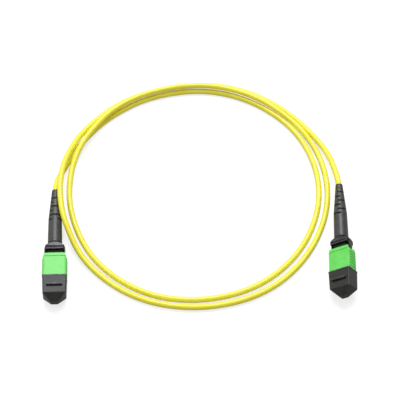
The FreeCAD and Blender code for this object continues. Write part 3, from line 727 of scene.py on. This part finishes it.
def makeCap(letter):
    # One closed skin from the tip of the nose, back over the body and the rim, and in to the hollow's end;
    # between its stations the width, height and corner radius change in straight lines.
    front = cap["rear"] - cap["length"]
    places = {"tip": front - cap["nose"], "front": front, "rim": cap["rear"] - cap["rimLength"],
              "rear": cap["rear"], "hollow": cap["hollowFront"],
              "cavity": cap["hollowFront"] - cap["cavityDepth"]}

    def rings(rows):
        return [[places[place] + behind, cap[part][0] + larger, cap[part][1] + larger, corner]
                for place, behind, part, larger, corner in rows]

    share = np.array(cap["slopeRings"])[:, None]
    narrow = np.array([*cap["tip"], cap["tipCorner"]])
    wide = np.array([*cap["front"], cap["corner"]])
    slope = np.hstack([places["tip"] + cap["nose"] * share, narrow + (wide - narrow) * share])
    stations = np.vstack([[places["tip"], 0, 0, 0], rings(cap["tipRings"]), slope, rings(cap["skinRings"]),
                          [places["cavity"], 0, 0, 0]])
    key = cap["keyWidth"] / 2
    acrossEdge, upEdge = (size / 2 - cap["corner"] - cap["edgeLine"] for size in cap["front"])
    skin = stationGrid(stations, faceLines=[-acrossEdge, -key - hair, -key, key, key + hair, acrossEdge],
                       sideLines=[-upEdge, upEdge])
    # the hollow's upper side rises to a channel for the housing's key
    ofHollow = np.array([part == "hollow" for place, behind, part, larger, corner in cap["skinRings"]])
    inHollow = np.zeros(skin.shape[:2], bool)
    inHollow[-1 - len(ofHollow):-1] = ofHollow[:, None]
    onTop = (skin[..., 2] > cap["hollow"][1] / 2 - touch) & (np.abs(skin[..., 0]) <= key + touch)
    skin[..., 2] = np.where(inHollow & onTop, cap["keyTop"], skin[..., 2])
    grids = [(skin, False, True, None)]
    start = front + cap["ribFromFront"]
    for side, high in zip((-1, 1), cap["ribHigh"]):     # the ribs reach a little way into the skin
        middle = side * (cap["body"][1] / 2 + (high - cap["ribSunk"]) / 2)
        grids.append(bar(cap["ribWidth"], high + cap["ribSunk"], cap["ribCorner"], start,
                         start + cap["ribThick"], cap["ribEdge"], middle))
    return makePiece(letter + "_nosedCap", letter, grids, looks["capPlastic"], letter + "_cap",
                     [letter + "_dust_cap"], sharp=cap["sharp"])


# flat is how many turns lie flat at each end, ease the share of the rise that slows down towards them
springs = {
    "ferrule": {"width": 6.9, "height": 3.3, "wire": 0.36, "turns": 4.5, "start": 4.9, "end": 11.5,
                "travel": 1.0},
    "coupling": {"width": 1.1, "height": 1.1, "wire": 0.2, "turns": 5.0, "start": 3.0, "end": 10.9,
                 "travel": 2.2, "across": 4.55, "up": 2.2},
    "flat": 0.7, "ease": 0.3, "steps": 28, "round": 8, "sharp": 60.0,
}


def makeCoil(name, letter, look, x, z, node):
    # Round wire on an oval: centre line (half width cos, rise, half height sin), and round it a circle of
    # outward cos + along sin. The rise stands still over the flat end coils.
    wire = look["wire"] / 2
    turn = np.linspace(0, look["turns"], round(look["turns"] * springs["steps"]) + 1)
    share = np.clip((turn - springs["flat"]) / (look["turns"] - 2 * springs["flat"]), 0, 1)
    share = share * share * (3 - 2 * share) * springs["ease"] + share * (1 - springs["ease"])
    angle = turn * 2 * math.pi
    rx, rz = look["width"] / 2 - wire, look["height"] / 2 - wire
    length = look["end"] - look["start"]
    rise = look["start"] + wire + (length - 2 * wire) * share
    middle = np.stack([x + rx * np.cos(angle), rise, z + rz * np.sin(angle)], -1)
    out = np.stack([rz * np.cos(angle), np.zeros(len(turn)), rx * np.sin(angle)], -1)
    out /= np.linalg.norm(out, axis=1, keepdims=True)
    phase = (np.arange(springs["round"]) * 2 * math.pi / springs["round"])[None, :, None]
    circle = wire * (np.cos(phase) * out[:, None, :] + np.sin(phase) * np.array([0.0, 1.0, 0.0]))
    tube = middle[:, None, :] + circle
    ends = [np.broadcast_to(middle[[i]][:, None, :], (1,) + tube.shape[1:]) for i in (0, -1)]
    grid = np.vstack([ends[0], tube, ends[1]])
    piece = makePiece(name, letter, [(grid, False, True, None)], looks["springSteel"], "cord",
                      [node], sharp=springs["sharp"])
    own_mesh(piece)
    return piece


def soften(node, name, material, body, width):
    # A merged copy of the solid's mesh whose sharp edges are rounded.
    mesh = frame["nodes"][node].data.copy()
    mesh.name = name
    work = bmesh.new()
    work.from_mesh(mesh)
    bmesh.ops.remove_doubles(work, verts=work.verts, dist=meshLook["solidSeam"])
    bmesh.ops.dissolve_limit(work, angle_limit=math.radians(meshLook["level"]), verts=work.verts,
                             edges=work.edges, delimit={"NORMAL"})
    work.to_mesh(mesh)
    work.free()
    mesh.materials.clear()
    mesh.materials.append(material)
    shade(mesh, meshLook["crease"])
    piece = addObject(name, mesh)
    roundEdges(piece, width, meshLook["bevelFrom"])
    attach(piece, body)
    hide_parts(node)
    return piece


# places along the plug; sideways is how squarely a face must look to the side to count as an end
rearZones = {"blockEnd": 15.2, "flangeEnd": 18.0, "grooveFrom": 15.9, "grooveTo": 16.27, "grooveSlope": 0.06,
             "grooveDeep": 0.15, "wideFace": 3.3, "slack": 0.01, "sideways": 0.7}


def grooveFlange(piece, letter):
    # A shallow groove across both wide faces, between flange and dome, cut once the edges are rounded.
    origin, turn = plugs[letter]
    zones, slack = rearZones, rearZones["slack"]
    piece.data = bpy.data.meshes.new_from_object(piece.evaluated_get(bpy.context.evaluated_depsgraph_get()))
    piece.modifiers.clear()
    work = bmesh.new()
    work.from_mesh(piece.data)

    def wideFaces(low, high, inside):
        # faces on the two wide sides that lie between low and high along the plug, or else cross both
        found = []
        for face in work.faces:
            corners = pickUp([corner.co for corner in face.verts], letter)
            flat = np.abs(corners[:, 2]).min() > zones["wideFace"] and np.ptp(corners[:, 2]) < slack
            first, last = corners[:, 1].min(), corners[:, 1].max()
            between = first > low - slack and last < high + slack
            if flat and (between if inside else first < low and last > high):
                found.append(face)
        return found

    for y in (zones["grooveFrom"], zones["grooveTo"]):
        faces = wideFaces(y - slack, y + slack, False)
        around = {part for face in faces for part in (*face.verts, *face.edges)}
        bmesh.ops.bisect_plane(work, geom=faces + list(around), plane_co=Vector(origin + turn[1] * y * mm),
                               plane_no=Vector(turn[1]))
    bmesh.ops.inset_region(work, faces=wideFaces(zones["grooveFrom"], zones["grooveTo"], True),
                           thickness=zones["grooveSlope"] * mm, depth=-zones["grooveDeep"] * mm)
    work.to_mesh(piece.data)
    work.free()
    piece.data.set_sharp_from_angle(angle=math.radians(meshLook["crease"]))


def paintShadeOnFront(piece, letter):
    # The arms, the spring seat, the groove and the ends of the flange are painted blacker and smoother than
    # the dome: painted shade for the shadow they lie in.
    faces = piece.data.polygons
    along = pickUp(readVectors(faces, "center"), letter)[:, 1]
    endOn = np.abs((readVectors(faces, "normal") @ plugs[letter][1].T)[:, 0]) > rearZones["sideways"]
    shadedFaces = (along < rearZones["blockEnd"]) | (endOn & (along < rearZones["flangeEnd"]))
    shadedFaces |= (along > rearZones["grooveFrom"]) & (along < rearZones["grooveTo"])
    piece.data.materials.append(looks["paintedShadePlastic"])
    faces.foreach_set("material_index", shadedFaces.astype(np.int32))


def dress(node, material):
    # a solid that stays gets its finish in every slot it has
    mesh = frame["nodes"][node].data
    if not mesh.materials:
        mesh.materials.append(material)
    for number in range(len(mesh.materials)):
        mesh.materials[number] = material


jacketEnd = {"diameter": 3.0, "start": 25.1, "end": 51.25, "columns": 48, "rows": 30, "sharp": 50.0}
fibreEnds = {"count": 12, "pitch": 0.25, "diameter": 0.125, "y": -5.6, "lean": 8.0, "leanFrom": -1.25,
             "proud": 0.012, "rows": 4, "columns": 14, "sharp": 60.0}


def makeJacketEnd(letter):
    # a straight round tube with a closed end inside the boot: (radius cos, y, radius sin)
    look = jacketEnd
    y = np.linspace(look["start"], look["end"], look["rows"])
    radius = np.concatenate([[0], np.full(look["rows"], look["diameter"] / 2), [0]])[:, None]
    y = np.concatenate([y[:1], y, y[-1:]])[:, None]
    angle = np.arange(look["columns"])[None, :] * 2 * math.pi / look["columns"]
    grid = np.stack([radius * np.cos(angle), y + 0 * angle, radius * np.sin(angle)], -1)
    return makePiece(letter + "_jacketEnd", letter, [(grid, False, True, None)], looks["jacket"], "cord",
                     sharp=look["sharp"])


def makeFibreEnds(letter):
    # Twelve small polished domes in a row on the end face, which leans back from its lower edge.
    look = fibreEnds
    polar = np.append(np.linspace(0, math.pi / 2, look["rows"]), math.pi / 2)[:, None]
    phase = np.arange(look["columns"])[None, :] * 2 * math.pi / look["columns"]
    radius = look["diameter"] / 2 * np.sin(polar)
    radius[-1] = 0                                  # closes the back
    x, z = radius * np.cos(phase), radius * np.sin(phase)
    back = (z - look["leanFrom"]) * math.tan(math.radians(look["lean"]))
    y = look["y"] - look["proud"] * np.cos(polar) + back
    shifts = (np.arange(look["count"]) - (look["count"] - 1) / 2) * look["pitch"]
    grids = [(np.stack([x + shift, y, z], -1), False, True, None) for shift in shifts]
    return makePiece(letter + "_fibreEnds", letter, grids, looks["fibreEnd"], letter + "_ferrule_set",
                     sharp=look["sharp"])


softEdges = {"rear": 0.07, "housing": 0.06}     # widths of the rounded edges on the solids' own meshes

for letter in "ab":
    makeBoot(letter)
    makeSleeve(letter)
    makeCap(letter)
    makeJacketEnd(letter)
    makeFibreEnds(letter)
    makeCoil(letter + "_ovalCoil", letter, springs["ferrule"], 0.0, 0.0, letter + "_ferrule_spring")
    small = springs["coupling"]
    for label, side in (("left", -1), ("right", 1)):
        makeCoil(f"{letter}_cornerCoil_{label}", letter, small, side * small["across"], -side * small["up"],
                 f"{letter}_coupling_spring_{label}")
    rear = soften(letter + "_rear_housing", letter + "_armedRear", looks["rearPlastic"], "cord",
                  softEdges["rear"])
    grooveFlange(rear, letter)
    paintShadeOnFront(rear, letter)
    soften(letter + "_inner_housing", letter + "_plugHousing", looks["housingPlastic"], "cord",
           softEdges["housing"])
    dress(letter + "_ferrule", looks["ferrulePlastic"])
    dress(letter + "_ferrule_boot", looks["bootRubber"])
    dress(letter + "_pin_clamp", looks["clampSteel"])
    dress(letter + "_crimp_ring", looks["crimpMetal"])
    dress(letter + "_fibre_ribbon", makeRibbon(letter))
    print("plug", letter, "made")


# lift is the floor's own light, from near to far: lamps fade with the distance, so it grows
stageLook = {"floor": (0.50, 0.50, 0.50), "roughness": 0.9, "size": 3.0, "below": 0.00002,
             "lift": (0.68, 0.95), "distance": (0.25, 0.90), "mirrored": 0.1, "sky": 0.46}

half = stageLook["size"]
floorMesh = bpy.data.meshes.new("floor")
floorMesh.from_pydata([(-half, -half, 0), (half, -half, 0), (half, half, 0), (-half, half, 0)], [],
                      [(0, 1, 2, 3)])
floor = addObject("floor", floorMesh)
floor.location.z = -stageLook["below"]
floorMaterial, tree, shader = startMaterial("paleFloor")
shader.inputs["Base Color"].default_value = (*stageLook["floor"], 1.0)
shader.inputs["Roughness"].default_value = stageLook["roughness"]
shader.inputs["Specular IOR Level"].default_value = 0.0
shader.inputs["Emission Color"].default_value = (1, 1, 1, 1)
rays = tree.nodes.new("ShaderNodeLightPath").outputs
mirrored = mathNode(tree, "MULTIPLY", rays["Is Glossy Ray"], stageLook["mirrored"])
seen = mathNode(tree, "MAXIMUM", rays["Is Camera Ray"], mirrored)
away = tree.nodes.new("ShaderNodeVectorMath")
away.operation = "LENGTH"
tree.links.new(objectPlace(tree), away.inputs[0])
lift = spread(tree, away.outputs["Value"], *stageLook["distance"], *stageLook["lift"])
tree.links.new(mathNode(tree, "MULTIPLY", seen, lift), shader.inputs["Emission Strength"])
floorMesh.materials.append(floorMaterial)

world = bpy.data.worlds.new("studio")
bpy.context.scene.world = world
world.use_nodes = True
sky = world.node_tree.nodes["Background"]
sky.inputs["Color"].default_value = (1, 1, 1, 1)
rays = world.node_tree.nodes.new("ShaderNodeLightPath").outputs
seen = mathNode(world.node_tree, "MAXIMUM", rays["Is Camera Ray"], rays["Is Transmission Ray"])
level = spread(world.node_tree, seen, 0.0, 1.0, stageLook["sky"], 1.0)
world.node_tree.links.new(level, sky.inputs["Strength"])

lampTarget = (0, 0.02, 0)
lamps = {
    "softboxBack": {"place": (0.03, 0.60, 0.94), "size": 0.70, "power": 9.6},
    "softboxLeft": {"place": (-0.72, 0.40, 0.36), "size": 0.60, "power": 1.0},
}
for name, look in lamps.items():
    light = bpy.data.lights.new(name, "AREA")
    light.shape = "SQUARE"
    light.size = look["size"]
    light.energy = look["power"]
    aimAt(addObject(name, light), look["place"], lampTarget)

bpy.context.scene.view_settings.view_transform = "Standard"
print("light set")

bpy.context.view_layer.update()
